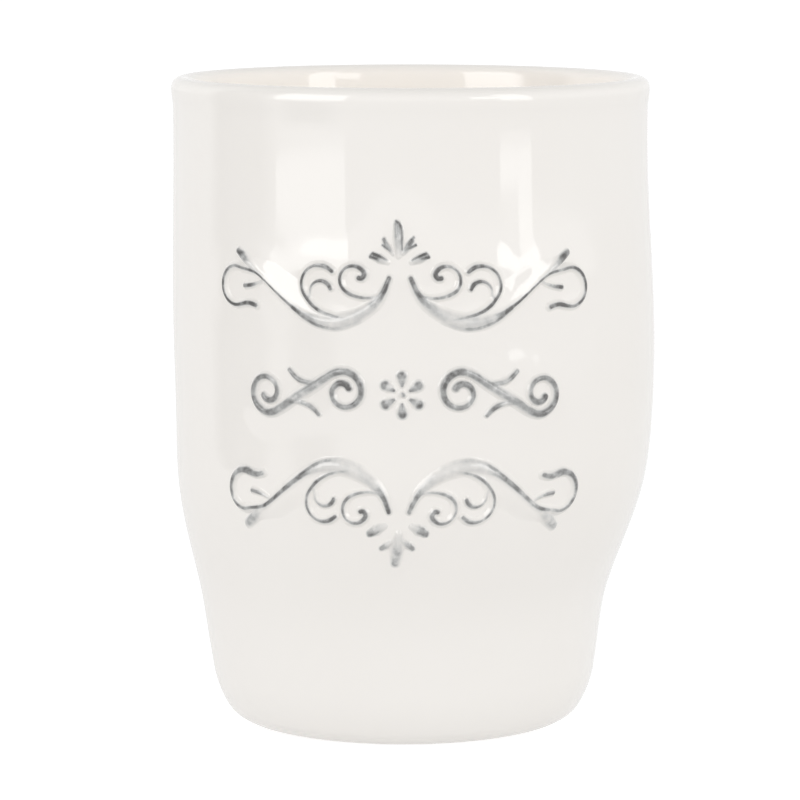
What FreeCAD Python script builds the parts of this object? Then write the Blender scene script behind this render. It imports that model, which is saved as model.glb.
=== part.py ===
import FreeCAD, Part
import math
import os

# Driving dimensions of the vessel, in millimetres
# It stands on z = 0 with its axis along Z, and its decorated front faces -Y
height = 107.0
belly_radius = 40.0
lip_thickness = 3.6
bead_swell = 0.3
bead_height = 4.7
neck_drop = 11.0

# Stations of the outside: each rise is counted from the station below, each inset from the belly
belly_rise = 15.0
barrel_rise = 10.3
shoulder_rise = 9.9
flare_rise = 9.0
waist_rise = 6.0
collar_rise = 5.9
heel_height = 8.9
neck_inset = 0.8
barrel_inset = 0.35
shoulder_inset = 1.2
flare_inset = 3.7
waist_inset = 6.25
collar_inset = 7.2
heel_inset = 8.05
foot_inset = 12.1
heel_bulge = 0.7

# Sideways lean of the fired clay at each station, towards +X
bead_lean = -0.5
neck_lean = -0.7
belly_lean = 0.0
barrel_lean = 0.0
shoulder_lean = -0.5
flare_lean = -1.3
waist_lean = -1.8
collar_lean = -1.8
heel_lean = -1.7

# Inside and underside
wall_thickness = 3.6
floor_thickness = 5.0
inner_corner = 7.0
foot_ring_width = 4.0
foot_recess_depth = 2.0
foot_recess_flare = 1.5

# Driving dimensions of the moulded ornament
# Its places are (s, t): s runs round the wall from the front line, t up from the middle line
ornament_drop = 48.0
relief_height = 1.0
rise_per_width = 0.38
leaf_width = 2.9
petal_width = 1.9
leaflet_width = 1.5
stem_width = 1.3
tip_width = 0.9
bulb_width = 1.6
boss_width = 2.4
petal_count = 6
stem_middle = 16.0

# How the ornament is built: the slip that lutes it on, its root below the wall and its sections
slip_thickness = 0.05
root_depth = 0.3
dome_sink = 0.2
swell_power = 0.6
section_step = 1.0
volute_step = 30.0
least_section_count = 5
halvings = 40
wall_section_count = 24

bead_base = height - bead_height
neck_radius = belly_radius - neck_inset
bead_radius = neck_radius + bead_swell
heel_radius = belly_radius - heel_inset
foot_radius = belly_radius - foot_inset
ornament_level = height - ornament_drop


def vector(radius, z):
    return FreeCAD.Vector(radius, 0, z)


def station(inset, lean, z):
    # A place on the wall holds its radius, the lean of its ring and its height
    return FreeCAD.Vector(belly_radius - inset, lean, z)


def smooth_curve(points):
    curve = Part.BSplineCurve()
    curve.interpolate(points)
    return curve


def chain(corners):
    return [Part.LineSegment(a, b).toShape() for a, b in zip(corners, corners[1:])]


def wall_stations():
    # Heel to bead, from below
    level = 0
    stations = []
    for rise, inset, lean in (
        (heel_height, heel_inset, heel_lean),
        (collar_rise, collar_inset, collar_lean),
        (waist_rise, waist_inset, waist_lean),
        (flare_rise, flare_inset, flare_lean),
        (shoulder_rise, shoulder_inset, shoulder_lean),
        (barrel_rise, barrel_inset, barrel_lean),
        (belly_rise, 0, belly_lean),
    ):
        level += rise
        stations.append(station(inset, lean, level))
    stations.append(station(neck_inset, neck_lean, height - neck_drop))
    stations.append(station(neck_inset, bead_lean, bead_base))
    return stations


wall_curve = smooth_curve(wall_stations())


def wall_at(z):
    # Parameter of the wall curve at height z, by halving
    low = wall_curve.FirstParameter
    high = wall_curve.LastParameter
    for _ in range(halvings):
        middle = (low + high) / 2
        if wall_curve.value(middle).z < z:
            low = middle
        else:
            high = middle
    return low


def barrel(places, inset):
    # A solid through round sections that follow the lean of the wall
    rings = []
    for place in places:
        rings.append(Part.Wire(Part.makeCircle(place.x - inset, FreeCAD.Vector(place.y, 0, place.z))))
    return Part.makeLoft(rings, True, False)


def turned(edges, angle):
    return Part.Face(Part.Wire(edges)).revolve(vector(0, 0), vector(0, 1), angle)


def make_foot():
    # The heel turns in under the wall to the foot ring, with a recess inside it
    top = vector(heel_radius, heel_height)
    bottom = vector(foot_radius, 0)
    chord = top - bottom
    outward = FreeCAD.Vector(chord.z, 0, -chord.x).normalize()
    heel = Part.Arc(bottom, (top + bottom) / 2 + outward * heel_bulge, top).toShape()
    ring_inside = foot_radius - foot_ring_width
    inside = chain([
        top,
        vector(0, heel_height),
        vector(0, foot_recess_depth),
        vector(ring_inside - foot_recess_flare, foot_recess_depth),
        vector(ring_inside, 0),
        bottom,
    ])
    return turned([heel] + inside, 360).translated(vector(heel_lean, 0))


def make_rim():
    # The bead swells out of the neck and runs on into the half-round lip
    lip_radius = lip_thickness / 2
    lip_level = height - lip_radius
    drop = lip_level - bead_base
    arc_radius = (bead_swell ** 2 + drop ** 2) / (2 * bead_swell)
    half_angle = math.asin(drop / arc_radius) / 2
    bead_middle = vector(bead_radius - arc_radius * (1 - math.cos(half_angle)),
                         lip_level - arc_radius * math.sin(half_angle))
    bead_bottom = vector(neck_radius, bead_base)
    bead_top = vector(bead_radius, lip_level)
    lip_inside = vector(bead_radius - lip_thickness, lip_level)
    bead = Part.Arc(bead_bottom, bead_middle, bead_top).toShape()
    lip = Part.Arc(bead_top, vector(bead_radius - lip_radius, height), lip_inside).toShape()
    inside = chain([lip_inside, vector(neck_radius - wall_thickness, bead_base), bead_bottom])
    return turned([bead, lip] + inside, 360).translated(vector(bead_lean, 0))


def make_hollow():
    # The inside from the bead down, with a rounded corner above the floor
    corner_top = floor_thickness + inner_corner
    start = wall_at(corner_top)
    share = (wall_curve.LastParameter - start) / (wall_section_count - 1)
    upper = barrel([wall_curve.value(start + share * i) for i in range(wall_section_count)], wall_thickness)
    foot_of_wall = wall_curve.value(start)
    corner_start = vector(foot_of_wall.x - wall_thickness, corner_top)
    corner_end = vector(corner_start.x - inner_corner, floor_thickness)
    bend = inner_corner * math.sqrt(0.5)
    corner = Part.Arc(corner_end, vector(corner_end.x + bend, corner_top - bend), corner_start).toShape()
    closing = chain([corner_start, vector(0, corner_top), vector(0, floor_thickness), corner_end])
    return [upper, turned([corner] + closing, 360).translated(vector(foot_of_wall.y, 0))]


def make_vessel():
    outside = make_foot().fuse(barrel(wall_curve.discretize(Number=wall_section_count), 0))
    return outside.cut(make_hollow()).fuse(make_rim())


def make_wall_core():
    # What the sprigs are trimmed with: the front half of the upright wall with its coat of slip
    stations = wall_stations()
    coated = [vector(place.x + slip_thickness, place.z) for place in stations]
    inside = [vector(place.x - wall_thickness, place.z) for place in (stations[-1], stations[0])]
    return turned([smooth_curve(coated).toShape()] + chain([coated[-1]] + inside + [coated[0]]), -180)


def wall_frame(s, t):
    # Point on the wall with its directions outward, round and up the wall
    parameter = wall_at(ornament_level + t)
    place = wall_curve.value(parameter)
    climb = wall_curve.tangent(parameter)[0]
    angle = s / belly_radius
    sine = math.sin(angle)
    cosine = math.cos(angle)
    point = FreeCAD.Vector(place.y + place.x * sine, -place.x * cosine, place.z)
    around = FreeCAD.Vector(cosine, sine, 0)
    upward = FreeCAD.Vector(climb.y + climb.x * sine, -climb.x * cosine, climb.z)
    return point, around.cross(upward).normalize(), around, upward


def ridge_section(s, t, direction, width):
    # A low arch across the stroke, rooted a little below the wall
    point, outward, around, upward = wall_frame(s, t)
    along = around * direction.x + upward * direction.y
    side = outward.cross(along).normalize() * (width / 2)
    root = point - outward * root_depth
    crest = point + outward * min(relief_height, width * rise_per_width)
    arch = Part.Arc(root - side, crest, root + side).toShape()
    return Part.Wire([arch] + chain([root + side, root - side]))


def ridge(places, start_width, end_width, swell=0.0):
    # A stroke along the places, swelling towards its middle
    path = smooth_curve([FreeCAD.Vector(s, t, 0) for s, t in places])
    count = max(least_section_count, round(path.length() / section_step) + 1)
    sections = []
    for index, place in enumerate(path.discretize(Number=count)):
        share = index / (count - 1)
        width = start_width + (end_width - start_width) * share
        width += swell * math.sin(math.pi * share) ** swell_power
        direction = path.tangent(path.parameter(place))[0]
        sections.append(ridge_section(place.x, place.y, direction, width))
    return Part.makeLoft(sections, True, False)


def dome(s, t, width):
    # A round boss on the wall, as at the end of a curl
    point, outward, _, _ = wall_frame(s, t)
    radius = width / 2
    return Part.makeSphere(radius, point - outward * (radius * dome_sink), outward)


def volute(s, t, start_radius, end_radius, start_angle, turn_angle):
    # Places along a spiral about (s, t), angles in degrees from the s direction
    count = max(3, round(abs(turn_angle) / volute_step) + 1)
    places = []
    for index in range(count):
        share = index / (count - 1)
        radius = start_radius + (end_radius - start_radius) * share
        angle = math.radians(start_angle + turn_angle * share)
        places.append((s + radius * math.cos(angle), t + radius * math.sin(angle)))
    return places


def curl(places):
    return [ridge(places, stem_width, tip_width), dome(*places[-1], bulb_width)]


def leaf(places, width):
    return [ridge(places, tip_width, tip_width, width - tip_width)]


# Strokes of the upper right quarter; the other quarters are its mirror images
main_leaf = [(28.6, 22.2), (24.0, 19.2), (18.6, 15.1), (11.5, 11.8), (5.0, 13.8), (1.7, 18.4)]
outer_curl = [(23.0, 17.9)] + volute(29.1, 16.2, 3.2, 3.1, 120, -225) + [(24.6, 13.5)]
spur = [(22.8, 17.8), (25.2, 16.6), (27.2, 16.3)]
inner_curl = [(10.6, 12.4)] + volute(13.2, 17.5, 3.1, 3.0, -50, 170)
small_curl = [(14.9, 14.6)] + volute(13.0, 16.3, 1.8, 1.75, -10, 165)
front_curl = [(3.2, 15.8), (5.0, 15.2)] + volute(7.1, 18.0, 2.6, 1.6, -80, 270)
crown_leaf = [(0, 21.9), (0, 24.6), (0, 27.6)]
crown_side_leaf = [(0.3, 22.2), (1.5, 23.6), (2.6, 24.8)]
outer_leaf = [(1.6, 21.0), (3.2, 21.6), (4.9, 22.1)]

# Strokes on the middle line, to the right of the front line
petal_reaches = [0.6, 2.2, 3.8]
near_volute = volute(9.3, 0.3, 1.1, 3.3, 500, -410)
far_volute = volute(22.7, -0.3, 3.3, 1.1, -90, 410)
flourish = near_volute + [(stem_middle, 0.0)] + far_volute
tendril = [(13.6, 1.6), (15.2, 1.6), (17.0, 2.1), (18.5, 3.4)]


def mirrored(places, side, flip):
    return [(s * side, t * flip) for s, t in places]


def leaned_core(shape):
    # The core, sheared along the straight line that comes nearest to the lean behind a sprig
    levels = (shape.BoundBox.ZMin, shape.BoundBox.Center.z, shape.BoundBox.ZMax)
    low, middle, high = [wall_curve.value(wall_at(z)) for z in levels]
    shear = FreeCAD.Matrix()
    shear.A13 = (high.y - low.y) / (high.z - low.z)
    shear.A14 = (low.y + high.y + 2 * middle.y) / 4 - shear.A13 * middle.z
    return wall_core.transformGeometry(shear)


def sprig(solids):
    # One piece of clay with its back on the wall
    joined = solids[0].fuse(solids[1:]) if len(solids) > 1 else solids[0]
    return joined.cut(leaned_core(joined))


def make_scroll(side, flip):
    solids = leaf(mirrored(main_leaf, side, flip), leaf_width)
    for places in (outer_curl, spur, inner_curl, small_curl, front_curl):
        solids += curl(mirrored(places, side, flip))
    return sprig(solids)


def make_crown(flip):
    solids = leaf(mirrored(crown_leaf, 1, flip), petal_width)
    for side in (-1, 1):
        solids += leaf(mirrored(crown_side_leaf, side, flip), leaflet_width)
    return sprig(solids)


def make_outer_leaf(side, flip):
    return sprig(leaf(mirrored(outer_leaf, side, flip), leaflet_width))


def make_rosette():
    solids = [dome(0, 0, boss_width)]
    for index in range(petal_count):
        angle = 2 * math.pi * index / petal_count
        places = [(reach * math.sin(angle), reach * math.cos(angle)) for reach in petal_reaches]
        solids += leaf(places, petal_width)
    return sprig(solids)


def make_flourish(side):
    places = mirrored(flourish, side, 1)
    solids = [ridge(places, tip_width, tip_width, stem_width - tip_width)]
    solids += [dome(*places[end], bulb_width) for end in (0, -1)]
    solids += leaf(mirrored(tendril, side, 1), leaflet_width)
    # The lower tendril is the upper one turned half round the middle of the stem
    turned_half = [(2 * stem_middle - s, -t) for s, t in tendril]
    solids += leaf(mirrored(turned_half, side, 1), leaflet_width)
    return sprig(solids)


wall_core = make_wall_core()
pieces = {"tumbler_body": make_vessel(), "centre_rosette": make_rosette()}
for side_name, side in (("left", -1), ("right", 1)):
    pieces[f"centre_{side_name}_flourish"] = make_flourish(side)
for level_name, flip in (("upper", 1), ("lower", -1)):
    pieces[f"{level_name}_palmette_crown"] = make_crown(flip)
    for side_name, side in (("left", -1), ("right", 1)):
        pieces[f"{level_name}_{side_name}_scroll"] = make_scroll(side, flip)
        pieces[f"{level_name}_palmette_{side_name}_leaf"] = make_outer_leaf(side, flip)

os.makedirs("parts", exist_ok=True)
for name, shape in pieces.items():
    print(name, len(shape.Solids), shape.isValid(), round(shape.Volume, 3))
    shape.exportStep(f"parts/{name}.step")
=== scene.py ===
import math
import bpy
import numpy as np
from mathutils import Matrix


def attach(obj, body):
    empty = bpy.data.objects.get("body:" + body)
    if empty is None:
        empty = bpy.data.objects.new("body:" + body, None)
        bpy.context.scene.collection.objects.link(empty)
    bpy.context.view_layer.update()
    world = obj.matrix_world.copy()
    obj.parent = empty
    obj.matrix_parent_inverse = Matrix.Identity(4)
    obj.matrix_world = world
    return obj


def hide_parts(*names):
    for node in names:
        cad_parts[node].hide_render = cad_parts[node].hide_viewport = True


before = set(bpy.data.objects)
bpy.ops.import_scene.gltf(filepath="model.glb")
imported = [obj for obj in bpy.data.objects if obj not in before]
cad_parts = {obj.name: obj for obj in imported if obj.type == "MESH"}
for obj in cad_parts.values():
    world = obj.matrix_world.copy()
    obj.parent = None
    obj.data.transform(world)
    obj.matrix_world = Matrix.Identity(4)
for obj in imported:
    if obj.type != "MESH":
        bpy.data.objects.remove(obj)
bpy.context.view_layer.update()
bpy.ops.object.select_all(action="DESELECT")
print("frame loaded")

mm = 0.001  # sizes of the cup and its ornament are in millimetres, those of the studio in metres


def splineThrough(knots, values):
    # a smooth line through a few places, as a bent spline ruler gives it
    knots = np.array(knots, float)
    values = np.array(values, float)
    gap = np.diff(knots)
    last = len(knots) - 1
    matrix = np.eye(last + 1)
    right = np.zeros(last + 1)
    for i in range(1, last):
        matrix[i, i - 1:i + 2] = gap[i - 1], 2 * (gap[i - 1] + gap[i]), gap[i]
        right[i] = 6 * ((values[i + 1] - values[i]) / gap[i] - (values[i] - values[i - 1]) / gap[i - 1])
    bend = np.linalg.solve(matrix, right)

    def at(place):
        place = np.asarray(place, float)
        i = np.clip(np.searchsorted(knots, place) - 1, 0, last - 1)
        a = (knots[i + 1] - place) / gap[i]
        b = 1 - a
        bow = ((a ** 3 - a) * bend[i] + (b ** 3 - b) * bend[i + 1]) * gap[i] ** 2 / 6
        return a * values[i] + b * values[i + 1] + bow

    return at


def easeOut(share):
    # full at 0, flat and gone from 1 on
    return np.clip(1 - share ** 2, 0, None) ** 2


# Outside of the cup: height and radius of each station, and how far the fired clay leans sideways there
wall = {
    "stations": [(8.9, 31.95), (14.8, 32.8), (20.8, 33.75), (29.8, 36.3), (39.7, 38.8),
                 (50.0, 39.64), (65.0, 39.98), (96.0, 39.2), (102.3, 39.2)],
    "lean": [(8.9, -1.7), (14.8, -1.8), (20.8, -1.8), (29.8, -1.3), (39.7, -0.5),
             (50.0, 0.0), (65.0, 0.0), (96.0, -0.6), (102.3, -0.6)],
    "middle": 59.0,     # level of the ornament's middle line
    "rollRadius": 40.0,  # places round the wall are counted on this radius
}
wallRadius = splineThrough(*zip(*wall["stations"]))
leanLine = splineThrough(*zip(*wall["lean"]))


def wallLean(z):
    # below the first station and above the last the lean stays as it is there
    return leanLine(np.clip(z, wall["lean"][0][0], wall["lean"][-1][0]))


def onWall(s, t, rise):
    # s runs round the wall from the front, t up from the middle line, rise stands out from it
    z = wall["middle"] + t
    angle = s / wall["rollRadius"]
    radius = wallRadius(z) + rise
    return np.stack([wallLean(z) + radius * np.sin(angle), -radius * np.cos(angle), z], axis=-1) * mm


# Strokes of the ornament, drawn as for its upper right part; each piece says how it mirrors them
voluteStep = 20  # degrees between the places of a curl


def volute(s, t, startRadius, endRadius, startAngle, turnAngle):
    count = max(4, round(abs(turnAngle) / voluteStep))
    share = np.linspace(0, 1, count)
    radius = startRadius + (endRadius - startRadius) * share
    angle = np.radians(startAngle + turnAngle * share)
    return list(zip(s + radius * np.cos(angle), t + radius * np.sin(angle)))


# Each stroke has its places, and along its length the width and height of the ridge,
# and the darkness and half width of the ink; a flank is a broader half on its upper side
scroll = {
    "sweep": {
        "places": [(1.7, 18.4), (2.9, 15.8), (5.0, 13.6), (8.0, 12.0), (11.5, 11.3), (14.5, 11.9),
                   (17.0, 13.2), (19.5, 15.0), (22.2, 17.1), (24.4, 18.5)]
                  + volute(28.8, 16.2, 3.15, 3.05, 110, -215)
                  + [(26.2, 13.6), (24.7, 13.3)],
        "width": [(0, 1.5), (0.1, 2.6), (0.25, 3.6), (0.4, 2.6), (0.55, 2.0), (0.8, 1.9), (1, 1.9)],
        "height": [(0, 0.55), (0.25, 0.85), (0.5, 0.7), (1, 0.6)],
        "ink": [(0, 1.0), (0.06, 0.9), (0.12, 0.42), (0.2, 0.29), (0.3, 0.31), (0.36, 0.55), (0.42, 0.95),
                (0.55, 0.85), (0.66, 0.8), (0.78, 1.0), (0.9, 0.9), (1, 1.0)],
        "inkHalf": [(0, 0.42), (0.06, 0.5), (0.12, 0.9), (0.22, 1.3), (0.3, 1.2), (0.38, 0.5), (0.44, 0.32),
                    (0.55, 0.24), (0.66, 0.28), (0.76, 0.34), (0.9, 0.28), (0.96, 0.4), (1, 0.42)],
    },
    "bellyEdge": {
        "places": [(17.6, 13.4), (15.2, 11.6), (12.5, 10.5), (9.5, 10.4), (6.5, 11.5)],
        "width": [(0, 1.0), (1, 1.0)],
        "height": [(0, 0.3), (1, 0.2)],
        "ink": [(0, 0.85), (0.3, 0.55), (0.65, 0.34), (1, 0.1)],
        "inkHalf": [(0, 0.28), (0.4, 0.32), (1, 0.35)],
    },
    "bladeTip": {
        "places": [(28.5, 21.7), (26.6, 20.3), (24.6, 18.9), (22.8, 17.7)],
        "width": [(0, 1.7), (0.4, 2.2), (1, 1.6)],
        "height": [(0, 0.5), (0.4, 0.75), (1, 0.5)],
        "ink": [(0, 0.75), (0.12, 0.95), (0.3, 0.85), (0.45, 0.35), (1, 0.05)],
        "inkHalf": [(0, 0.6), (0.15, 0.75), (0.35, 0.6), (1, 0.25)],
    },
    "blade": {
        "places": [(27.2, 20.9), (24.4, 18.9), (21.0, 16.4), (17.2, 13.5), (13.4, 11.8), (9.0, 11.7)],
        "width": [(0, 1.4), (0.5, 1.8), (1, 1.4)],
        "height": [(0, 0.3), (0.4, 0.85), (0.8, 0.5), (1, 0.2)],
        "flank": [(0, 0.6), (0.25, 3.4), (0.5, 4.2), (0.75, 3.0), (1, 1.0)],
        "ink": [(0, 0), (1, 0)],
        "inkHalf": [(0, 0.4), (1, 0.4)],
    },
    "spur": {
        "places": [(22.8, 17.6), (25.2, 16.6), (27.0, 16.3)],
        "width": [(0, 1.0), (0.6, 1.5), (1, 1.7)],
        "height": [(0, 0.3), (1, 0.55)],
        "ink": [(0, 0.15), (0.4, 0.5), (0.7, 1.0), (1, 1.0)],
        "inkHalf": [(0, 0.18), (0.6, 0.34), (1, 0.38)],
    },
    "innerCurl": {
        "places": [(8.2, 11.9), (10.6, 12.3), (13.0, 13.1)] + volute(12.9, 17.2, 3.1, 3.0, -42, 176),
        "width": [(0, 1.2), (0.3, 1.9), (1, 1.8)],
        "height": [(0, 0.3), (0.4, 0.65), (1, 0.6)],
        "ink": [(0, 0.1), (0.15, 0.5), (0.3, 0.95), (0.5, 0.95), (0.8, 0.8), (0.92, 1.0), (1, 1.0)],
        "inkHalf": [(0, 0.2), (0.3, 0.32), (0.5, 0.28), (0.8, 0.25), (0.92, 0.42), (1, 0.36)],
    },
    "smallCurl": {
        "places": [(14.2, 13.7), (14.8, 14.4)] + volute(12.8, 16.0, 1.8, 1.75, -5, 165),
        "width": [(0, 1.0), (1, 1.5)],
        "height": [(0, 0.3), (1, 0.5)],
        "ink": [(0, 0.2), (0.4, 0.45), (0.7, 0.95), (1, 1.0)],
        "inkHalf": [(0, 0.2), (0.6, 0.24), (0.9, 0.42), (1, 0.36)],
    },
    "frontCurl": {
        "places": [(3.2, 15.6), (4.9, 15.3)] + volute(7.2, 18.25, 2.5, 1.85, -70, 222)
                  + [(5.7, 18.65), (6.05, 18.35), (6.45, 18.4)],
        "width": [(0, 1.2), (0.3, 1.8), (1, 1.9)],
        "height": [(0, 0.3), (0.4, 0.65), (1, 0.6)],
        "ink": [(0, 0.2), (0.2, 0.7), (0.4, 1.0), (0.7, 0.8), (0.9, 1.0), (1, 1.0)],
        "inkHalf": [(0, 0.2), (0.35, 0.34), (0.65, 0.24), (0.88, 0.45), (1, 0.45)],
    },
}

# The lower row, where the stain was sponged on broader
lowerScroll = dict(scroll)
lowerScroll["sweep"] = dict(
    scroll["sweep"],
    ink=[(0, 1.0), (0.06, 0.9), (0.12, 0.42), (0.2, 0.29), (0.3, 0.31), (0.36, 0.6), (0.42, 0.95),
         (0.6, 1.0), (0.66, 0.85), (0.78, 1.0), (0.9, 0.95), (1, 1.0)],
    inkHalf=[(0, 0.42), (0.06, 0.5), (0.12, 0.9), (0.22, 1.3), (0.3, 1.2), (0.38, 0.55), (0.5, 0.48),
             (0.6, 0.38), (0.66, 0.3), (0.76, 0.38), (0.86, 0.45), (0.93, 0.7), (1, 0.42)],
)
lowerScroll["bladeTip"] = dict(
    scroll["bladeTip"],
    width=[(0, 2.4), (0.4, 2.7), (1, 1.6)],
    ink=[(0, 0.55), (0.2, 0.72), (0.4, 0.5), (0.6, 0.2), (1, 0.05)],
    inkHalf=[(0, 0.85), (0.25, 1.0), (0.5, 0.7), (1, 0.25)],
)


def leafStroke(places, width, height, dark, half):
    # a leaf, inked most at its outer end
    return {
        "places": places,
        "width": [(0, width * 0.6), (0.5, width), (1, width * 0.75)],
        "height": [(0, height * 0.5), (0.55, height), (1, height * 0.7)],
        "ink": [(0, dark * 0.25), (0.45, dark * 0.7), (1, dark)],
        "inkHalf": [(0, half * 0.8), (0.6, half), (1, half * 0.8)],
    }


def inkLine(places, dark, half):
    # a fine dark line along a leaf
    return {
        "places": places,
        "width": [(0, 0.9), (1, 0.9)],
        "height": [(0, 0.2), (1, 0.25)],
        "ink": [(0, dark * 0.6), (0.6, dark), (1, dark)],
        "inkHalf": [(0, half * 0.8), (1, half)],
    }


crown = {
    "top": leafStroke([(-0.15, 21.9), (-0.1, 24.3), (-0.25, 26.9)], 2.2, 0.8, 0.64, 0.75),
    "topEdge": inkLine([(0.45, 22.9), (0.5, 25.2), (0.15, 26.9), (-0.45, 27.4)], 0.85, 0.2),
    "right": leafStroke([(0.6, 22.3), (1.4, 23.4), (2.0, 24.3)], 1.7, 0.6, 0.8, 0.55),
    "rightTip": inkLine([(1.5, 23.8), (1.9, 24.3), (2.3, 24.8)], 1.0, 0.26),
    "rightLobe": inkLine([(1.7, 23.1), (2.2, 23.4), (2.6, 23.6)], 1.0, 0.26),
    "left": leafStroke([(-1.0, 22.2), (-1.8, 23.4), (-2.35, 24.5)], 1.5, 0.6, 0.95, 0.42),
    "leftLobe": inkLine([(-1.9, 23.0), (-2.25, 23.3), (-2.6, 23.6)], 0.9, 0.22),
}
lowerCrown = {
    "top": leafStroke([(0.2, 22.5), (0.1, 24.9), (0.0, 27.2)], 2.9, 0.8, 0.85, 1.0),
    "right": leafStroke([(1.0, 23.5), (1.9, 24.2), (2.7, 24.8)], 1.8, 0.6, 0.95, 0.6),
    "left": leafStroke([(-0.9, 23.7), (-1.7, 24.3), (-2.5, 24.8)], 1.8, 0.6, 0.75, 0.6),
}
sideLeaf = {
    "blade": leafStroke([(1.9, 20.9), (3.0, 21.4), (4.2, 21.9)], 2.0, 0.65, 0.62, 0.75),
    "edge": inkLine([(1.9, 21.2), (3.0, 21.8), (4.2, 22.3)], 0.85, 0.22),
    "lobe": inkLine([(3.5, 21.5), (4.1, 21.6), (4.6, 21.7)], 1.0, 0.26),
}
lowerLeaf = {
    "blade": leafStroke([(2.3, 21.2), (3.4, 21.7), (4.5, 22.3)], 2.4, 0.65, 0.85, 0.95),
    "edge": inkLine([(3.2, 22.1), (4.1, 22.5), (4.8, 22.7)], 0.7, 0.22),
}


def petalStroke(places):
    # a round petal, inked along its middle
    return {
        "places": places,
        "width": [(0, 1.3), (0.5, 2.3), (1, 2.4)],
        "height": [(0, 0.4), (0.6, 0.65), (1, 0.6)],
        "ink": [(0, 0.9), (0.4, 0.6), (0.7, 0.55), (1, 0.95)],
        "inkHalf": [(0, 0.3), (0.5, 0.7), (1, 0.85)],
    }


rosette = {"boss": leafStroke([(-0.2, 0), (0, 0.05), (0.2, 0)], 2.0, 0.75, 0.9, 0.5)}
petalCount = 6
petalReach = (1.5, 2.3, 3.0)
for petal in range(petalCount):
    turn = petal * 2 * math.pi / petalCount
    rosette[f"petal{petal}"] = petalStroke([(d * math.sin(turn), d * math.cos(turn)) for d in petalReach])
flourish = {
    "stem": {
        "places": volute(9.3, 0.3, 1.1, 3.3, 500, -400) + [(13.6, 1.5), (16.0, 0.0), (18.4, -1.5)]
                  + volute(22.7, -0.3, 3.3, 1.1, -80, 400),
        "width": [(0, 1.8), (0.2, 1.8), (0.5, 2.6), (0.8, 1.8), (1, 1.8)],
        "height": [(0, 0.6), (0.5, 0.8), (1, 0.6)],
        "ink": [(0, 1.0), (0.1, 0.75), (0.3, 0.95), (0.5, 0.5), (0.7, 0.95), (0.9, 0.75), (1, 1.0)],
        "inkHalf": [(0, 0.65), (0.1, 0.45), (0.5, 0.8), (0.9, 0.45), (1, 0.65)],
    },
    "upTendril": leafStroke([(13.6, 1.6), (15.2, 1.6), (17.0, 2.1), (18.5, 3.4)], 1.8, 0.65, 0.95, 0.5),
    "downTendril": leafStroke([(18.4, -1.6), (16.8, -1.6), (15.0, -2.1), (13.5, -3.4)], 1.8, 0.65, 0.95, 0.5),
}

# Strokes of each piece, how they mirror (the lower row is drawn a little narrower) and how much stain it kept
reliefPieces = {
    "upper_left_scroll": (scroll, -1, 1, 1.0),
    "upper_right_scroll": (scroll, 1, 1, 1.0),
    "lower_left_scroll": (lowerScroll, -0.965, -1.02, 0.80),
    "lower_right_scroll": (lowerScroll, 0.965, -1.02, 0.77),
    "upper_palmette_crown": (crown, 1, 1, 1.0),
    "lower_palmette_crown": (lowerCrown, 1, -1, 0.72),
    "upper_palmette_left_leaf": (sideLeaf, -1, 1, 1.0),
    "upper_palmette_right_leaf": (sideLeaf, 1, 1, 0.95),
    "lower_palmette_left_leaf": (lowerLeaf, -1, -1, 0.82),
    "lower_palmette_right_leaf": (lowerLeaf, 1, -1, 0.86),
    "centre_rosette": (rosette, 1, 1, 0.9),
    "centre_left_flourish": (flourish, -1, 1, 0.9),
    "centre_right_flourish": (flourish, 1, 1, 0.9),
}

drawing = {
    "step": 0.22,         # spacing of the places along a stroke, and their fewest
    "fewest": 8,
    "reach": 5.0,         # how far from its line a stroke is looked for
    "melt": 3,            # power by which crossing ridges melt into one another
    "inkEdge": 1.3,       # half widths at which the dark of a stroke ends
    "inkSoft": 0.85,      # and over how many it fades
    "halo": 0.3,          # smear beside the stroke
    "haloReach": 2.4,
    "swellHeight": 0.18,  # the wall swells softly round the ornament
    "swellReach": 5.0,
    "swellSkip": 3,       # only every third place of a stroke counts for it
}


def drawnPath(stroke, side, flip):
    # close-set places along a stroke, with their shares of its length
    hand = np.array(stroke["places"]) * (side, flip)
    run = np.concatenate([[0], np.cumsum(np.hypot(*np.diff(hand, axis=0).T))])
    count = max(drawing["fewest"], int(run[-1] / drawing["step"]))
    fine = np.linspace(0, run[-1], count)
    path = np.stack([splineThrough(run, hand[:, 0])(fine), splineThrough(run, hand[:, 1])(fine)], axis=1)
    return path, fine / run[-1]


def nearestOn(path, share, s, t):
    # distance from each place to the path, the share there, and which side it lies on
    a = path[:-1]
    step = np.diff(path, axis=0)
    dx = s[:, None] - a[None, :, 0]
    dy = t[:, None] - a[None, :, 1]
    along = np.clip((dx * step[:, 0] + dy * step[:, 1]) / (step ** 2).sum(axis=1), 0, 1)
    gap = np.hypot(dx - along * step[:, 0], dy - along * step[:, 1])
    best = gap.argmin(axis=1)
    row = np.arange(len(s))
    cross = step[best, 0] * dy[row, best] - step[best, 1] * dx[row, best]
    place = share[best] + along[row, best] * (share[best + 1] - share[best])
    return gap[row, best], place, np.sign(cross)


def valueAt(table, share):
    return np.interp(share, *zip(*table))


def placesNear(path, reach, s, t):
    low = path.min(axis=0) - reach
    high = path.max(axis=0) + reach
    return np.flatnonzero((s > low[0]) & (s < high[0]) & (t > low[1]) & (t < high[1]))


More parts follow.
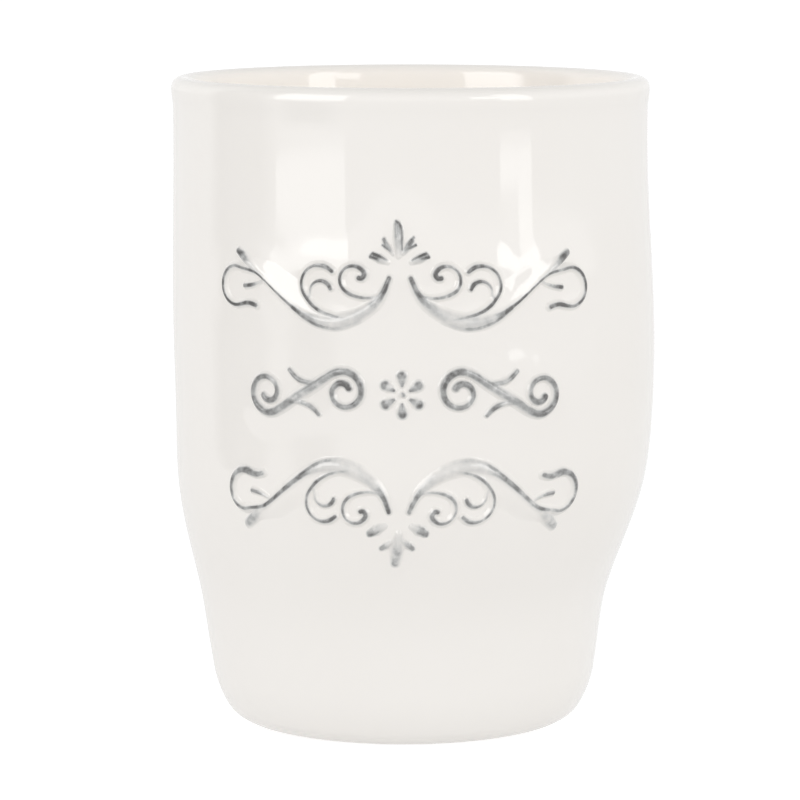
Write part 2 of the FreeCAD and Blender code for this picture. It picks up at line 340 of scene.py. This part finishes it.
def carve(strokes, side, flip, s, t):
    # height of the ridges and darkness of the ink at each place
    melt = drawing["melt"]
    rise = np.zeros(len(s))
    wash = np.zeros(len(s))
    for stroke in strokes.values():
        path, share = drawnPath(stroke, side, flip)
        near = placesNear(path, drawing["reach"], s, t)
        if not len(near):
            continue
        gap, place, left = nearestOn(path, share, s[near], t[near])
        half = valueAt(stroke["width"], place) / 2
        if "flank" in stroke:
            uphill = left * side * flip < 0
            half = np.where(uphill, np.maximum(half, valueAt(stroke["flank"], place)), half)
        ridge = valueAt(stroke["height"], place) * easeOut(gap / half)
        rise[near] = (rise[near] ** melt + ridge ** melt) ** (1 / melt)
        inkHalf = valueAt(stroke["inkHalf"], place)
        core = np.clip((drawing["inkEdge"] - gap / inkHalf) / drawing["inkSoft"], 0, 1)
        smear = drawing["halo"] * easeOut(gap / (inkHalf * drawing["haloReach"]))
        spread = np.maximum(core ** 2 * (3 - 2 * core), smear)
        wash[near] = 1 - (1 - wash[near]) * (1 - valueAt(stroke["ink"], place) * spread)
    return rise, wash


def swell(s, t):
    skip = drawing["swellSkip"]
    gap = np.full(len(s), np.inf)
    for strokes, side, flip, _ in reliefPieces.values():
        for stroke in strokes.values():
            path, share = drawnPath(stroke, side, flip)
            near = placesNear(path, drawing["swellReach"], s, t)
            if len(near):
                apart = nearestOn(path[::skip], share[::skip], s[near], t[near])[0]
                gap[near] = np.minimum(gap[near], apart)
    return drawing["swellHeight"] * easeOut(gap / drawing["swellReach"])


# Materials
def newMaterial(name):
    material = bpy.data.materials.new(name)
    material.use_nodes = True
    return material, material.node_tree.nodes, material.node_tree.links


def noiseOf(nodes, links, coords, scale, detail, seed):
    noise = nodes.new("ShaderNodeTexNoise")
    noise.noise_dimensions = "4D"
    noise.inputs["W"].default_value = seed
    noise.inputs["Scale"].default_value = scale
    noise.inputs["Detail"].default_value = detail
    links.new(coords, noise.inputs["Vector"])
    return noise.outputs["Fac"]


def ranged(nodes, links, value, fromLow, fromHigh, toLow, toHigh):
    node = nodes.new("ShaderNodeMapRange")
    node.inputs["From Min"].default_value = fromLow
    node.inputs["From Max"].default_value = fromHigh
    node.inputs["To Min"].default_value = toLow
    node.inputs["To Max"].default_value = toHigh
    links.new(value, node.inputs["Value"])
    return node.outputs["Result"]


def mixedColour(nodes, links, factor, first, second):
    node = nodes.new("ShaderNodeMix")
    node.data_type = "RGBA"
    links.new(factor, node.inputs[0])
    for socket, colour in ((node.inputs[6], first), (node.inputs[7], second)):
        if isinstance(colour, tuple):
            socket.default_value = (*colour, 1)
        else:
            links.new(colour, socket)
    return node.outputs[2]


noiseSpan = (0.3, 0.7)  # where most values of a noise lie

# Each noise has its scale, detail and seed
glaze = {
    "milk": (0.970, 0.942, 0.905),   # the two off-whites the glaze drifts between
    "cream": (0.958, 0.928, 0.888),
    "grey": (0.145, 0.143, 0.140),   # stain rubbed into the ornament
    "haze": (0.56, 0.565, 0.56),     # what the sponge left round it
    "driftNoise": (28, 3, 1.3),
    "driftSpan": (0.35, 0.65),
    "roughness": (0.03, 0.06),
    "roughNoise": (160, 2, 3.1),
    "ripple": 0.06,                  # unevenness of the glaze, and its depth in metres
    "rippleDepth": 0.0004,
    "rippleNoise": (75, 1, 5.7),
    "refraction": 1.5,
    "broken": (0.5, 1.12),           # how unevenly the stain took
    "brokenNoise": (650, 4, 2.2),
    "brokenSpan": (0.3, 0.65),
    "hazeFull": 0.5,                 # stain at which the haze is full
    "dark": (0.38, 0.88),            # stain at which the grey starts and is full
}


def glazeShader(nodes, links, colour, coords):
    shader = nodes["Principled BSDF"]
    links.new(colour, shader.inputs["Base Color"])
    uneven = noiseOf(nodes, links, coords, *glaze["roughNoise"])
    links.new(ranged(nodes, links, uneven, *noiseSpan, *glaze["roughness"]), shader.inputs["Roughness"])
    bump = nodes.new("ShaderNodeBump")
    bump.inputs["Strength"].default_value = glaze["ripple"]
    bump.inputs["Distance"].default_value = glaze["rippleDepth"]
    links.new(noiseOf(nodes, links, coords, *glaze["rippleNoise"]), bump.inputs["Height"])
    links.new(bump.outputs["Normal"], shader.inputs["Normal"])
    shader.inputs["IOR"].default_value = glaze["refraction"]


def milkyColour(nodes, links, coords):
    noise = noiseOf(nodes, links, coords, *glaze["driftNoise"])
    drift = ranged(nodes, links, noise, *glaze["driftSpan"], 0, 1)
    return mixedColour(nodes, links, drift, glaze["milk"], glaze["cream"])


def whiteGlaze():
    material, nodes, links = newMaterial("white_glaze")
    coords = nodes.new("ShaderNodeTexCoord").outputs["Object"]
    glazeShader(nodes, links, milkyColour(nodes, links, coords), coords)
    return material


def washedGlaze():
    material, nodes, links = newMaterial("washed_relief")
    coords = nodes.new("ShaderNodeTexCoord").outputs["Object"]
    white = milkyColour(nodes, links, coords)
    wash = nodes.new("ShaderNodeAttribute")
    wash.attribute_name = "wash"
    noise = noiseOf(nodes, links, coords, *glaze["brokenNoise"])
    broken = ranged(nodes, links, noise, *glaze["brokenSpan"], *glaze["broken"])
    inked = nodes.new("ShaderNodeMath")
    inked.operation = "MULTIPLY"
    inked.use_clamp = True
    links.new(wash.outputs["Fac"], inked.inputs[0])
    links.new(broken, inked.inputs[1])
    smeared = ranged(nodes, links, inked.outputs[0], 0, glaze["hazeFull"], 0, 1)
    hazed = mixedColour(nodes, links, smeared, white, glaze["haze"])
    dark = ranged(nodes, links, inked.outputs[0], *glaze["dark"], 0, 1)
    glazeShader(nodes, links, mixedColour(nodes, links, dark, hazed, glaze["grey"]), coords)
    return material


clay = {
    "pale": (0.74, 0.69, 0.61),
    "deep": (0.64, 0.58, 0.5),
    "roughness": (0.8, 0.95),
    "grain": 0.3,            # strength of the grain, and its depth in metres
    "grainDepth": 0.0002,
    "grainNoise": (900, 6, 4.4),
}


def bareClay():
    material, nodes, links = newMaterial("bare_clay")
    coords = nodes.new("ShaderNodeTexCoord").outputs["Object"]
    grain = noiseOf(nodes, links, coords, *clay["grainNoise"])
    speckle = ranged(nodes, links, grain, *noiseSpan, 0, 1)
    shader = nodes["Principled BSDF"]
    links.new(mixedColour(nodes, links, speckle, clay["pale"], clay["deep"]), shader.inputs["Base Color"])
    links.new(ranged(nodes, links, grain, *noiseSpan, *clay["roughness"]), shader.inputs["Roughness"])
    bump = nodes.new("ShaderNodeBump")
    bump.inputs["Strength"].default_value = clay["grain"]
    bump.inputs["Distance"].default_value = clay["grainDepth"]
    links.new(grain, bump.inputs["Height"])
    links.new(bump.outputs["Normal"], shader.inputs["Normal"])
    return material


glazeMaterial = whiteGlaze()
reliefMaterial = washedGlaze()
clayMaterial = bareClay()
print("materials made")


# Cup, turned up ring by ring from the foot
cup = {
    "segments": 256,
    "height": 107.0,
    "footRadius": 27.9,   # where the bow of the heel would meet the ground
    "heelBulge": 0.7,
    "beadRadius": 39.5,
    "lip": 3.6,
    "wallThickness": 3.6,
    "floor": 5.0,
    "corner": 7.0,
    "recess": 2.0,        # depth of the hollow inside the foot ring
    "footStart": 25.0,    # ring that the outside and the underside start from
    # radius and height of the rings round the foot's outer edge, and of those inside the foot ring
    "footEdge": [(25.35, 0.0), (26.4, 0.11), (27.4, 0.43), (28.31, 0.96), (29.09, 1.66)],
    "footInside": [(24.6, 0.0), (24.2, 0.05), (23.8, 0.3), (23.1, 1.2), (22.5, 1.75)],
    "recessRings": (21.6, 14.0, 7.0, 2.0),
    "heelShares": (0.3, 0.98, 10),  # first and last share of the bow that has a ring, and how many
    # level of the first ring, the end and the spacing, closer where the ornament is
    "bands": [(9.4, 29, 1.2), (29.4, 90, 0.8)],
    "neckStart": 90.6,
    "neckStep": 1.2,
    "beadShares": (0.15, 0.35, 0.6, 0.85),
    "lipRings": 15,
    "insideStart": 3.0,   # below the middle of the lip
    "insideRings": 40,
    "cornerStart": 0.15,  # angle of the corner's first ring
    "cornerRings": 9,
    "floorRings": (16.0, 8.0, 2.5),
    "weld": 0.002,
    "field": {"low": 25, "high": 95, "halfAngle": 1.1, "skin": 1},  # the wall near the ornament
    "bareBelow": 0.2,     # faces lower than this have no glaze
    "smoothAngle": 50,
}


def cupRings():
    outside = list(cup["footEdge"])
    footPoint = np.array([cup["footRadius"], 0.0])
    heelPoint = np.array([wall["stations"][0][1], wall["stations"][0][0]])
    chord = heelPoint - footPoint
    outward = np.array([chord[1], -chord[0]]) / np.hypot(*chord)
    for a in np.linspace(*cup["heelShares"]):
        outside.append(tuple(footPoint + chord * a + outward * cup["heelBulge"] * 4 * a * (1 - a)))
    beadBase = wall["stations"][-1][0]
    for start, end, step in cup["bands"] + [(cup["neckStart"], beadBase, cup["neckStep"])]:
        for z in np.arange(start, end, step):
            outside.append((float(wallRadius(z)), z))
    lipHalf = cup["lip"] / 2
    lipLevel = cup["height"] - lipHalf
    neck = wall["stations"][-1][1]
    for a in cup["beadShares"]:
        radius = neck + (cup["beadRadius"] - neck) * math.sin(a * math.pi / 2)
        outside.append((radius, beadBase + (lipLevel - beadBase) * a))
    lipCentre = cup["beadRadius"] - lipHalf
    for angle in np.linspace(0, math.pi, cup["lipRings"]):
        outside.append((lipCentre + lipHalf * math.cos(angle), lipLevel + lipHalf * math.sin(angle)))
    cornerTop = cup["floor"] + cup["corner"]
    for z in np.linspace(lipLevel - cup["insideStart"], cornerTop, cup["insideRings"]):
        outside.append((float(wallRadius(min(z, beadBase))) - cup["wallThickness"], z))
    cornerCentre = float(wallRadius(cornerTop)) - cup["wallThickness"] - cup["corner"]
    for angle in np.linspace(cup["cornerStart"], math.pi / 2, cup["cornerRings"]):
        radius = cornerCentre + cup["corner"] * math.cos(angle)
        outside.append((radius, cornerTop - cup["corner"] * math.sin(angle)))
    outside += [(radius, cup["floor"]) for radius in cup["floorRings"]]
    underside = cup["footInside"] + [(radius, cup["recess"]) for radius in cup["recessRings"]]
    return outside, underside


def extrudeRings(rings, radius, z):
    # draw the selected ring on through the rings, and close the last one
    for nextRadius, nextZ in rings:
        lean = float(wallLean(nextZ)) - float(wallLean(z))
        bpy.ops.mesh.extrude_region_move(TRANSFORM_OT_translate={"value": (lean * mm, 0, (nextZ - z) * mm)})
        grow = nextRadius / radius
        middle = (float(wallLean(nextZ)) * mm, 0, nextZ * mm)
        bpy.ops.transform.resize(value=(grow, grow, 1), center_override=middle)
        radius, z = nextRadius, nextZ
    bpy.ops.mesh.extrude_region_move(TRANSFORM_OT_translate={"value": (0, 0, 0)})
    bpy.ops.mesh.merge(type="CENTER")


def makeCup():
    outside, underside = cupRings()
    start = cup["footStart"]
    bpy.ops.mesh.primitive_circle_add(vertices=cup["segments"], radius=start * mm,
                                      location=(float(wallLean(0)) * mm, 0, 0))
    piece = bpy.context.object
    piece.name = "cup"
    bpy.ops.object.transform_apply(location=True, rotation=True, scale=True)
    bpy.ops.object.mode_set(mode="EDIT")
    bpy.ops.mesh.select_all(action="SELECT")
    extrudeRings(outside, start, 0.0)
    bpy.ops.object.mode_set(mode="OBJECT")
    for vertex in piece.data.vertices:
        vertex.select = vertex.index < cup["segments"]
    for edge in piece.data.edges:
        edge.select = max(edge.vertices) < cup["segments"]
    for face in piece.data.polygons:
        face.select = False
    bpy.ops.object.mode_set(mode="EDIT")
    extrudeRings(underside, start, 0.0)
    bpy.ops.mesh.select_all(action="SELECT")
    bpy.ops.mesh.remove_doubles(threshold=cup["weld"] * mm)
    bpy.ops.mesh.normals_make_consistent(inside=False)
    bpy.ops.object.mode_set(mode="OBJECT")
    # the wall swells softly towards the ornament
    coords = np.empty(len(piece.data.vertices) * 3)
    piece.data.vertices.foreach_get("co", coords)
    coords = coords.reshape(-1, 3)
    z = coords[:, 2] / mm
    away = coords[:, 0] / mm - wallLean(z)
    radius = np.hypot(away, coords[:, 1] / mm)
    angle = np.arctan2(away, -coords[:, 1] / mm)
    field = cup["field"]
    level = (z > field["low"]) & (z < field["high"])
    outer = radius > wallRadius(z) - field["skin"]
    front = np.flatnonzero(level & outer & (np.abs(angle) < field["halfAngle"]))
    s = angle[front] * wall["rollRadius"]
    t = z[front] - wall["middle"]
    coords[front] = onWall(s, t, swell(s, t))
    piece.data.vertices.foreach_set("co", coords.ravel())
    piece.data.materials.append(glazeMaterial)
    piece.data.materials.append(clayMaterial)
    for face in piece.data.polygons:
        if face.center.z < cup["bareBelow"] * mm:
            face.material_index = 1
    bpy.ops.object.shade_smooth_by_angle(angle=math.radians(cup["smoothAngle"]))
    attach(piece, "root")
    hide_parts("tumbler_body")
    piece.select_set(False)
    return piece


cupPiece = makeCup()
print("cup made,", len(cupPiece.data.polygons), "faces")


# Ornament, a fine sheet of clay for each sprig, pressed to the wall
sheet = {
    "cell": 0.13,    # spacing of the sheet's points
    "margin": 2.6,   # round the strokes, and round those with a flank
    "flankMargin": 4.6,
    "sunk": 0.03,    # its edge lies this far below the wall
    "back": 0.6,     # and its back this far
    "smoothAngle": 60,
}


def makeRelief(name, strokes, side, flip, stain):
    places = np.concatenate([drawnPath(stroke, side, flip)[0] for stroke in strokes.values()])
    flanked = any("flank" in stroke for stroke in strokes.values())
    margin = sheet["flankMargin"] if flanked else sheet["margin"]
    low = places.min(axis=0) - margin
    high = places.max(axis=0) + margin
    cells = np.ceil((high - low) / sheet["cell"]).astype(int)
    bpy.ops.mesh.primitive_grid_add(x_subdivisions=int(cells[0]), y_subdivisions=int(cells[1]), size=2)
    piece = bpy.context.object
    piece.name = name + "_relief"
    mesh = piece.data
    coords = np.empty(len(mesh.vertices) * 3)
    mesh.vertices.foreach_get("co", coords)
    # the grid runs from -1 to 1 both ways
    flat = (coords.reshape(-1, 3)[:, :2] + 1) / 2 * (high - low) + low
    rise, wash = carve(strokes, side, flip, flat[:, 0], flat[:, 1])
    lift = swell(flat[:, 0], flat[:, 1]) + rise - sheet["sunk"]
    mesh.vertices.foreach_set("co", onWall(flat[:, 0], flat[:, 1], lift).ravel())
    mesh.attributes.new("wash", "FLOAT", "POINT").data.foreach_set("value", wash * stain)
    # cut away the bare wall round the strokes
    corners = np.empty(len(mesh.loops), int)
    mesh.loops.foreach_get("vertex_index", corners)
    kept = (rise[corners].reshape(-1, 4).max(axis=1) > 0).reshape(cells[1], cells[0])
    # cells that would only touch at a corner are joined
    around = kept[:-1, :-1], kept[:-1, 1:], kept[1:, :-1], kept[1:, 1:]
    pinched = (around[0] == around[3]) & (around[1] == around[2]) & (around[0] != around[1])
    for cell in around:
        cell |= pinched
    bpy.ops.object.mode_set(mode="EDIT")
    bpy.ops.mesh.select_mode(type="FACE")
    bpy.ops.object.mode_set(mode="OBJECT")
    mesh.polygons.foreach_set("select", ~kept.ravel())
    bpy.ops.object.mode_set(mode="EDIT")
    bpy.ops.mesh.delete(type="FACE")
    # close the back inside the wall
    bpy.ops.mesh.select_all(action="SELECT")
    bpy.ops.object.mode_set(mode="OBJECT")
    fronts = len(mesh.vertices)
    bpy.ops.object.mode_set(mode="EDIT")
    bpy.ops.mesh.extrude_region_move(TRANSFORM_OT_translate={"value": (0, 0, 0)})
    bpy.ops.object.mode_set(mode="OBJECT")
    coords = np.empty(len(mesh.vertices) * 3)
    mesh.vertices.foreach_get("co", coords)
    coords = coords.reshape(-1, 3)
    z = coords[fronts:, 2] / mm
    angle = np.arctan2(coords[fronts:, 0] / mm - wallLean(z), -coords[fronts:, 1] / mm)
    coords[fronts:] = onWall(angle * wall["rollRadius"], z - wall["middle"], -sheet["back"])
    mesh.vertices.foreach_set("co", coords.ravel())
    bpy.ops.object.mode_set(mode="EDIT")
    bpy.ops.mesh.select_all(action="SELECT")
    bpy.ops.mesh.normals_make_consistent(inside=False)
    bpy.ops.object.mode_set(mode="OBJECT")
    mesh.materials.append(reliefMaterial)
    bpy.ops.object.shade_smooth_by_angle(angle=math.radians(sheet["smoothAngle"]))
    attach(piece, "root")
    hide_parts(name)
    piece.select_set(False)
    print("relief", name, len(mesh.polygons), "faces")


for pieceName, plan in reliefPieces.items():
    makeRelief(pieceName, *plan)


# Floor, light and camera
studio = {
    "floorSize": 9.0,
    "floorColour": (0.42, 0.42, 0.42),
    "floorGlow": 0.35,       # the paper is lit from below
    "floorWhite": 0.40,      # lifted to clean white where it is seen
    "floorMirror": 0.24,     # and less so where it is mirrored
    "sky": [(0, 1.43), (0.4, 1.31), (1, 0.32)],  # light of the room at eye level, half up and overhead
    "skyBack": 0.68,         # what is left of it behind the cup
    "fillGlow": 0.0035,      # weak light inside the cup, its size and its level
    "fillSize": 0.01,
    "fillLevel": 0.05,
    "flagRadius": 0.3,
    "flagSides": 360,
    "flagSoft": 9,           # degrees over which a card thins out
    "flagDark": (0.12, 0.12, 0.12),
    # cards: from and to so many degrees round from the front, and how tall
    "flags": {"sideFlag": (-104, -60, 0.6), "lowFlag": (-60, -28, 0.07)},
    # soft lights: degrees round from the front, width, bottom, top and glow
    "panels": {
        "leftSoftbox": (-45.5, 0.64, 0.0335, 0.1, 1.6),
        "leftSoftboxTop": (-45.5, 0.64, 0.1, 0.93, 3.2),
        "rightSoftbox": (53.3, 0.28, 0.0335, 0.068, 2.0),
        "rightSoftboxSide": (57.8, 0.124, 0.068, 0.1, 2.0),
        "rightSoftboxTop": (53.3, 0.28, 0.1, 0.93, 3.4),
        "rightReflector": (38.0, 0.24, 0.24, 0.6, 3.0),
    },
    "bounces": 16,
    "diffuseBounces": 12,
}


def makeFloor():
    bpy.ops.mesh.primitive_plane_add(size=studio["floorSize"], location=(0, 0, 0))
    floor = bpy.context.object
    floor.name = "floor"
    material, nodes, links = newMaterial("floor_paper")
    shader = nodes["Principled BSDF"]
    shader.inputs["Base Color"].default_value = (*studio["floorColour"], 1)
    shader.inputs["Roughness"].default_value = 1
    shader.inputs["Specular IOR Level"].default_value = 0
    shader.inputs["Emission Color"].default_value = (1, 1, 1, 1)
    rays = nodes.new("ShaderNodeLightPath")
    glow = nodes.new("ShaderNodeMath")
    lit = studio["floorGlow"]
    seen = ranged(nodes, links, rays.outputs["Is Camera Ray"], 0, 1, lit, lit + studio["floorWhite"])
    mirrored = ranged(nodes, links, rays.outputs["Is Glossy Ray"], 0, 1, 0, studio["floorMirror"])
    links.new(seen, glow.inputs[0])
    links.new(mirrored, glow.inputs[1])
    links.new(glow.outputs[0], shader.inputs["Emission Strength"])
    floor.data.materials.append(material)
    floor.select_set(False)


def makeSky():
    world = bpy.data.worlds.new("studio")
    bpy.context.scene.world = world
    world.use_nodes = True
    nodes = world.node_tree.nodes
    links = world.node_tree.links
    room = nodes["Background"]
    room.inputs["Color"].default_value = (1, 1, 1, 1)
    parts = nodes.new("ShaderNodeSeparateXYZ")
    links.new(nodes.new("ShaderNodeTexCoord").outputs["Generated"], parts.inputs[0])
    lower, middle, upper = studio["sky"]
    half = ranged(nodes, links, parts.outputs["Z"], lower[0], middle[0], lower[1], middle[1])
    overhead = ranged(nodes, links, parts.outputs["Z"], middle[0], upper[0], 0, upper[1] - middle[1])
    sky = nodes.new("ShaderNodeMath")
    links.new(half, sky.inputs[0])
    links.new(overhead, sky.inputs[1])
    dimmed = nodes.new("ShaderNodeMath")
    dimmed.operation = "MULTIPLY"
    links.new(sky.outputs[0], dimmed.inputs[0])
    links.new(ranged(nodes, links, parts.outputs["Y"], 0, 1, 1, studio["skyBack"]), dimmed.inputs[1])
    links.new(dimmed.outputs[0], room.inputs["Strength"])
    plain = nodes.new("ShaderNodeBackground")
    plain.inputs["Color"].default_value = (1, 1, 1, 1)
    path = nodes.new("ShaderNodeLightPath")
    choose = nodes.new("ShaderNodeMixShader")
    links.new(path.outputs["Is Camera Ray"], choose.inputs[0])
    links.new(room.outputs[0], choose.inputs[1])
    links.new(plain.outputs[0], choose.inputs[2])
    links.new(choose.outputs[0], nodes["World Output"].inputs["Surface"])


def makeFlag(name, fromTurn, toTurn, tall):
    # a dark card round the cup that only shows as a reflection in the glaze
    bpy.ops.mesh.primitive_cylinder_add(vertices=studio["flagSides"], radius=studio["flagRadius"],
                                        depth=tall, end_fill_type="NOTHING", location=(0, 0, tall / 2))
    flag = bpy.context.object
    flag.name = name
    bpy.ops.object.transform_apply(location=True, rotation=True, scale=True)
    bpy.ops.object.mode_set(mode="EDIT")
    bpy.ops.mesh.select_mode(type="FACE")
    bpy.ops.mesh.select_all(action="DESELECT")
    bpy.ops.object.mode_set(mode="OBJECT")
    for face in flag.data.polygons:
        turn = math.degrees(math.atan2(face.center.x, -face.center.y))
        face.select = not fromTurn < turn < toTurn
    bpy.ops.object.mode_set(mode="EDIT")
    bpy.ops.mesh.delete(type="FACE")
    bpy.ops.object.mode_set(mode="OBJECT")
    material, nodes, links = newMaterial(name + "_card")
    card = nodes["Principled BSDF"]
    card.inputs["Base Color"].default_value = (*studio["flagDark"], 1)
    card.inputs["Roughness"].default_value = 1
    card.inputs["Specular IOR Level"].default_value = 0
    # it thins out towards its sides
    parts = nodes.new("ShaderNodeSeparateXYZ")
    links.new(nodes.new("ShaderNodeTexCoord").outputs["Object"], parts.inputs[0])
    bearing = nodes.new("ShaderNodeMath")
    bearing.operation = "ARCTAN2"
    links.new(parts.outputs["X"], bearing.inputs[0])
    links.new(ranged(nodes, links, parts.outputs["Y"], -1, 1, 1, -1), bearing.inputs[1])
    first, last, soft = [math.radians(turn) for turn in (fromTurn, toTurn, studio["flagSoft"])]
    dense = nodes.new("ShaderNodeMath")
    dense.operation = "MULTIPLY"
    links.new(ranged(nodes, links, bearing.outputs[0], first, first + soft, 0, 1), dense.inputs[0])
    links.new(ranged(nodes, links, bearing.outputs[0], last - soft, last, 1, 0), dense.inputs[1])
    links.new(dense.outputs[0], card.inputs["Alpha"])
    flag.data.materials.append(material)
    flag.visible_camera = False
    flag.visible_diffuse = False
    flag.visible_shadow = False
    flag.select_set(False)


def makePanel(name, turn, width, bottom, top, glow):
    # an upright soft light a metre off, its place given by degrees round from the front
    angle = math.radians(turn)
    tall = top - bottom
    light = bpy.data.lights.new(name, "AREA")
    light.shape = "RECTANGLE"
    light.size = width
    light.size_y = tall
    light.energy = glow * width * tall * math.pi
    panel = bpy.data.objects.new(name, light)
    bpy.context.scene.collection.objects.link(panel)
    panel.location = (math.sin(angle), -math.cos(angle), (bottom + top) / 2)
    panel.rotation_euler = (math.pi / 2, 0, angle)
    panel.visible_camera = False
    panel.visible_diffuse = False


def makeFill():
    # a little light inside the cup, as comes through the thin wall
    light = bpy.data.lights.new("innerFill", "POINT")
    light.energy = studio["fillGlow"]
    light.shadow_soft_size = studio["fillSize"]
    fill = bpy.data.objects.new("innerFill", light)
    bpy.context.scene.collection.objects.link(fill)
    fill.location = (0, 0, studio["fillLevel"])
    fill.visible_camera = False
    fill.visible_glossy = False


makeFloor()
makeSky()
for flagName, plan in studio["flags"].items():
    makeFlag(flagName, *plan)
for panelName, plan in studio["panels"].items():
    makePanel(panelName, *plan)
makeFill()

view = {
    "distance": 0.6842,
    "height": 0.1428,
    "turn": 2.75,     # degrees towards the right of the front
    "down": 7.48,
    "aside": 0.194,   # turned a little left of the axis
    "lens": 186.12,
    "sensor": 36,
}
camera = bpy.data.cameras.new("camera")
camera.lens = view["lens"]
camera.sensor_width = view["sensor"]
cameraObject = bpy.data.objects.new("camera", camera)
bpy.context.scene.collection.objects.link(cameraObject)
turn = math.radians(view["turn"])
away = view["distance"]
cameraObject.location = (away * math.sin(turn), -away * math.cos(turn), view["height"])
cameraObject.rotation_euler = (math.radians(90 - view["down"]), 0, turn + math.radians(view["aside"]))
bpy.context.scene.camera = cameraObject
bpy.context.scene.view_settings.view_transform = "Standard"
bpy.context.scene.cycles.max_bounces = studio["bounces"]
bpy.context.scene.cycles.diffuse_bounces = studio["diffuseBounces"]
print("studio set")
